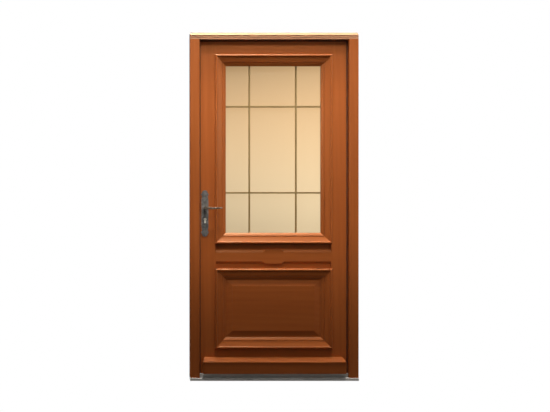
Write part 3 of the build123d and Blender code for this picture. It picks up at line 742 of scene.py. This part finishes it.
camera_data = bpy.data.cameras.new("portrait_camera")
camera_data.sensor_width = SENSOR
camera_data.lens = CAMERA_DISTANCE / METRES_PER_PIXEL * SENSOR / PICTURE_W
camera_data.shift_x = (PICTURE_MIDDLE[0] - DOOR_MIDDLE_PX - CAMERA_X / METRES_PER_PIXEL) / PICTURE_W
horizon_px = DOOR_FOOT_PX - CAMERA_Z / METRES_PER_PIXEL
camera_data.shift_y = (horizon_px - PICTURE_MIDDLE[1]) / PICTURE_W
camera = bpy.data.objects.new("portrait_camera", camera_data)
front_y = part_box("jamb_lock_side")[0].y
camera.location = (CAMERA_X, front_y - CAMERA_DISTANCE, CAMERA_Z)
camera.rotation_euler = (math.pi / 2, 0, 0)
bpy.context.scene.collection.objects.link(camera)
bpy.context.scene.camera = camera
print("lens:", round(camera_data.lens, 1))
print("shift:", round(camera_data.shift_x, 4), round(camera_data.shift_y, 4))

# %% [markdown]
# The picture has a plain white ground. The world is white only where it is looked at, directly or
# through glass. As a source of light it is a quiet warm grey, so that it doesn't wash out the
# mouldings. The Light Path node tells the two apart.


# %% World
WHITE = (1.0, 1.0, 1.0)
AMBIENT_COLOUR = (1.0, 0.97, 0.93)
AMBIENT_STRENGTH = 0.08


def white_world():
    """White where it is looked at, and a quiet grey as a source of light."""
    sky = Network(bpy.data.worlds.new("studio"))

    def light(colour, strength):
        values = {"Color": rgba(colour), "Strength": strength}
        return sky.add("ShaderNodeBackground", None, values)[0]

    path = sky.add("ShaderNodeLightPath")
    seen = path["Is Camera Ray"].larger(path["Is Transmission Ray"])
    inputs = {0: seen, 1: light(AMBIENT_COLOUR, AMBIENT_STRENGTH), 2: light(WHITE, 1.0)}
    sky.end(sky.add("ShaderNodeMixShader", None, inputs)[0], "ShaderNodeOutputWorld")
    return sky.owner


bpy.context.scene.world = white_world()
print("strength of the world as a light:", AMBIENT_STRENGTH)

# %% [markdown]
# The floor is plain and pale. To the camera it glows as white as the world, so that no edge shows
# where the two meet, and no shadow. The light that bounces off it sees a soft grey, and lifts the
# threshold and the weatherboard a little.


# %% Floor
FLOOR_SIZE = 14.0
FLOOR_DARK = (0.20, 0.20, 0.20)
FLOOR_PALE = (0.23, 0.23, 0.23)


def pale_floor():
    """White to the camera, and a soft grey for the light that it bounces."""
    paint = new_finish("pale_floor")
    grey = paint.mix(paint.noise(paint.place((30.0, 30.0, 30.0))), FLOOR_DARK, FLOOR_PALE)
    lit = paint.add("ShaderNodeBsdfDiffuse", None, {"Color": grey})[0]
    glow = paint.add("ShaderNodeEmission", None, {"Color": rgba(WHITE), "Strength": 1.0})[0]
    camera_ray = paint.add("ShaderNodeLightPath")["Is Camera Ray"]
    paint.end(paint.add("ShaderNodeMixShader", None, {0: camera_ray, 1: lit, 2: glow})[0])
    return paint.owner


slab = bmesh.new()
bmesh.ops.create_grid(slab, x_segments=1, y_segments=1, size=FLOOR_SIZE / 2)
floor = new_piece("floor", slab, pale_floor())

# %% [markdown]
# The light falls from above, as it does in a porch. The porch lamp hangs close to the door and
# lights the upper half most, and the front lamp stands further out and fills the faces. A long
# narrow strip grazes the head, and two small lamps pick out the middle rail and the lower panel.
# From either side one weak lamp is aimed high and one low, to open the shadows of the mouldings.
# The lamp at the back is there for the views of the inner side. A narrow spread keeps each beam
# on its own part of the door.


# %% Lamps
WARM = (1.0, 0.95, 0.89)
MILD = (1.0, 0.96, 0.90)
AMBER = (1.0, 0.92, 0.84)


def lamp(name, place, target, size, power, colour=WHITE, spread=180.0):
    """A soft rectangular lamp at a place, aimed at a target, its beam narrowed to a spread."""
    data = bpy.data.lights.new(name, "AREA")
    data.shape = "RECTANGLE"
    data.size, data.size_y = size
    data.spread = math.radians(spread)
    data.energy = power
    data.color = colour
    light = bpy.data.objects.new(name, data)
    light.location = place
    light.rotation_euler = (Vector(target) - Vector(place)).to_track_quat("-Z", "Y").to_euler()
    light.visible_camera = False
    bpy.context.scene.collection.objects.link(light)
    print(name, "watts:", power, "spread:", spread)


lamp("porch_lamp", (0.0, -0.7, 3.6), (0.0, 0.0, 1.58), (2.4, 0.7), 5.5, WARM, 20.0)
lamp("front_lamp", (0.0, -2.4, 4.4), (0.0, 0.0, 1.75), (2.0, 0.6), 3.6, MILD, 24.0)
lamp("rail_lamp", (0.0, -1.5, 2.5), (0.0, 0.0, 0.86), (1.6, 0.3), 0.34, WARM, 16.0)
lamp("panel_lamp", (0.0, -1.5, 2.3), (0.0, 0.0, 0.42), (1.6, 0.3), 0.27, WARM, 26.0)
lamp("head_strip", (0.0, -0.2, 3.5), (0.0, 0.0, 1.9), (2.0, 0.08), 2.7, AMBER, 16.0)
for side, word in ((-1, "left"), (1, "right")):
    top, foot = (side * 2.6, -2.6, 2.3), (side * 2.4, -1.6, 0.9)
    lamp(f"{word}_top_lamp", top, (0.0, 0.0, 1.6), (0.6, 1.0), 0.35, MILD, 24.0)
    lamp(f"{word}_foot_lamp", foot, (side * 0.3, 0.0, 0.45), (0.5, 1.2), 0.25, MILD, 60.0)
lamp("back_lamp", (0.6, 3.4, 2.4), (0.0, 0.0, 1.2), (2.2, 1.6), 45.0)

# %% [markdown]
# Last, the picture is shown with the Standard view transform. The dressed door must stay inside
# the solids' own box.

# %% View transform, and the end
bpy.context.scene.view_settings.view_transform = "Standard"
